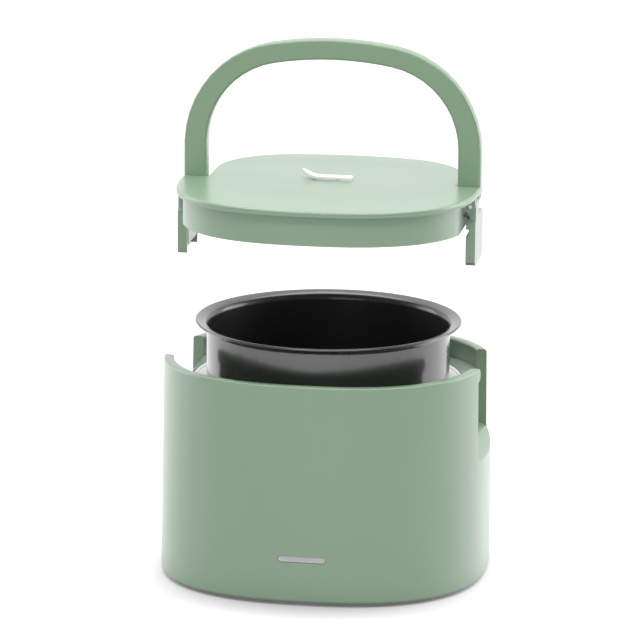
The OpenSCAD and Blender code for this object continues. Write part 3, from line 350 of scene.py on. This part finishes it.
SMOOTH = {
    "fine": shade_group("smooth_fine", FINE_ANGLE),
    "wide": shade_group("smooth_wide", WIDE_ANGLE),
    "housing": shade_group("smooth_housing", WIDE_ANGLE, below=(SCOOP_TOP, SCOOP_ANGLE)),
}
SMOOTH_OF = {
    "housing": "housing",
    "lid_cover": "wide",
    "handle": "wide",
    "bowl": "wide",
    "heating_well": "wide",
    "wiring": "wide",
    "vent_flap": "wide",
}


def smooth(o, group):
    normals = o.data.attributes.get("custom_normal")
    if normals is not None:
        o.data.attributes.remove(normals)
    weld = o.modifiers.new("weld", "WELD")
    weld.merge_threshold = 0.000002
    shade = o.modifiers.new("shade", "NODES")
    shade.node_group = group
    even = o.modifiers.new("even", "WEIGHTED_NORMAL")
    even.keep_sharp = True
    even.weight = 80


for row in frame["record"]["subparts"]:
    piece = nodes[row["node"]]
    piece.data.materials.clear()
    piece.data.materials.append(LOOKS[row["material_slot"]])
    smooth(piece, SMOOTH[SMOOTH_OF.get(row["node"], "fine")])


# ---- Floor ----

WHITE = (1, 1, 1, 1)
FLOOR_HALF = 9.0  # half its side
FLOOR_GREY = 0.38  # what it throws back onto the object
# Seen straight or mirrored, the floor is lifted to white, except close round the object
FLOOR_LIFT = 0.87
SHADOW_REACH = 0.046
SHADOW_LEAN = (0.0, 0.85, 0.53)  # looks backwards, so it falls mostly in front
SHADOW_SPAN = (0.16, 0.86)  # from the darkest shade to none

floor_mat = bpy.data.materials.new("floor")
floor_mat.use_nodes = True
ground = Nodes(floor_mat.node_tree)
surface = ground.tree.nodes["Principled BSDF"].inputs
surface["Base Color"].default_value = (FLOOR_GREY, FLOOR_GREY, FLOOR_GREY, 1)
surface["Roughness"].default_value = 0.6
surface["Specular IOR Level"].default_value = 0.0
surface["Emission Color"].default_value = WHITE
lean = ground.node("ShaderNodeCombineXYZ")
for axis, value in enumerate(SHADOW_LEAN):
    lean.inputs[axis].default_value = value
shadow = ground.node("ShaderNodeAmbientOcclusion", samples=16)
shadow.inputs["Distance"].default_value = SHADOW_REACH
ground.give(shadow.inputs["Normal"], lean.outputs[0])
lift = ground.remap(shadow.outputs["AO"], SHADOW_SPAN, 0.0, FLOOR_LIFT)
path = ground.node("ShaderNodeLightPath").outputs
seen = ground.math("MAXIMUM", ground.seen_by_mirrors(path), path["Is Camera Ray"])
ground.give(surface["Emission Strength"], ground.math("MULTIPLY", lift, seen))

mesh = bpy.data.meshes.new("floor")
corners = [(x * FLOOR_HALF, y * FLOOR_HALF, 0) for x, y in ((-1, -1), (1, -1), (1, 1), (-1, 1))]
mesh.from_pydata(corners, [], [(0, 1, 2, 3)])
floor = bpy.data.objects.new("floor", mesh)
bpy.context.scene.collection.objects.link(floor)
mesh.materials.append(floor_mat)


# ---- White surroundings ----

FILL = 0.50  # even light from all round
# What shiny surfaces mirror: white behind and beside, a dim room in front
ROOM_SPAN, ROOM_FRONT, ROOM_BACK = (-0.25, 0.35), 0.16, 1.0
BACKDROP = 1.0

world = bpy.data.worlds.new("surroundings")
bpy.context.scene.world = world
world.use_nodes = True
sky = Nodes(world.node_tree)
sky.tree.nodes.clear()


def shell(strength):
    made = sky.node("ShaderNodeBackground")
    made.inputs["Color"].default_value = WHITE
    sky.give(made.inputs["Strength"], strength)
    return made.outputs[0]


def either(choice, a, b):
    made = sky.node("ShaderNodeMixShader")
    for socket, value in zip(made.inputs, (choice, a, b)):
        sky.give(socket, value)
    return made.outputs[0]


split = sky.node("ShaderNodeSeparateXYZ")
sky.give(split.inputs[0], sky.node("ShaderNodeTexCoord").outputs["Generated"])
room = sky.remap(split.outputs[1], ROOM_SPAN, ROOM_FRONT, ROOM_BACK, curve="SMOOTHSTEP")
path = sky.node("ShaderNodeLightPath").outputs
lit = either(sky.seen_by_mirrors(path), shell(FILL), shell(room))
out = sky.node("ShaderNodeOutputWorld")
sky.give(out.inputs[0], either(path["Is Camera Ray"], lit, shell(BACKDROP)))


# ---- Soft light ----

# Name: place, aim, width and height in metres, power in watts
LIGHTS = {
    "above": ((0.0, 0.25, 1.7), (0, 0, 0.12), 1.8, 1.6, 18.0),
    "brow": ((0.15, -0.80, 1.45), (0, 0, 0.16), 1.5, 0.35, 9.0),
    "front": ((-0.4, -2.4, 0.9), (0, 0, 0.15), 1.4, 1.2, 6.0),
    "side_right": ((1.5, 0.75, 0.35), (0, 0, 0.12), 1.0, 1.2, 12.0),
    "side_left": ((-1.6, 0.40, 0.40), (0, 0, 0.12), 0.9, 1.1, 6.0),
}

for name, (place, aim, width, height, power) in LIGHTS.items():
    light = bpy.data.lights.new(name, "AREA")
    light.shape = "RECTANGLE"
    light.size = width
    light.size_y = height
    light.energy = power
    lamp = bpy.data.objects.new(name, light)
    bpy.context.scene.collection.objects.link(lamp)
    lamp.location = place
    lamp.rotation_mode = "QUATERNION"
    lamp.rotation_quaternion = (Vector(aim) - Vector(place)).to_track_quat("-Z", "Y")


# ---- Camera at the photograph's angle ----

AZIMUTH, ELEVATION, ROLL = (math.radians(a) for a in (9.034, 13.283, 0.563))
DISTANCE = 2.6
AIM_HEIGHT, AIM_RIGHT = 0.141606, -0.004785
FOCAL_LENGTH, PHOTO_WIDTH = 4623.93, 640  # pixels
SENSOR_WIDTH = 36.0  # millimetres

back = Vector(
    (
        math.sin(AZIMUTH) * math.cos(ELEVATION),
        -math.cos(AZIMUTH) * math.cos(ELEVATION),
        math.sin(ELEVATION),
    )
)
right = (-back).cross(Vector((0, 0, 1))).normalized()
up = right.cross(-back)
camera_right = math.cos(ROLL) * right + math.sin(ROLL) * up
camera_up = -math.sin(ROLL) * right + math.cos(ROLL) * up
target = Vector((0, 0, AIM_HEIGHT)) + right * AIM_RIGHT
optics = bpy.data.cameras.new("camera")
optics.sensor_width = SENSOR_WIDTH
optics.lens = FOCAL_LENGTH / PHOTO_WIDTH * SENSOR_WIDTH
optics.clip_start, optics.clip_end = 0.05, 60.0
camera = bpy.data.objects.new("camera", optics)
bpy.context.scene.collection.objects.link(camera)
turn = Matrix((camera_right, camera_up, back)).transposed().to_4x4()
camera.matrix_world = Matrix.Translation(target + back * DISTANCE) @ turn
bpy.context.scene.camera = camera
bpy.context.scene.view_settings.view_transform = "Standard"
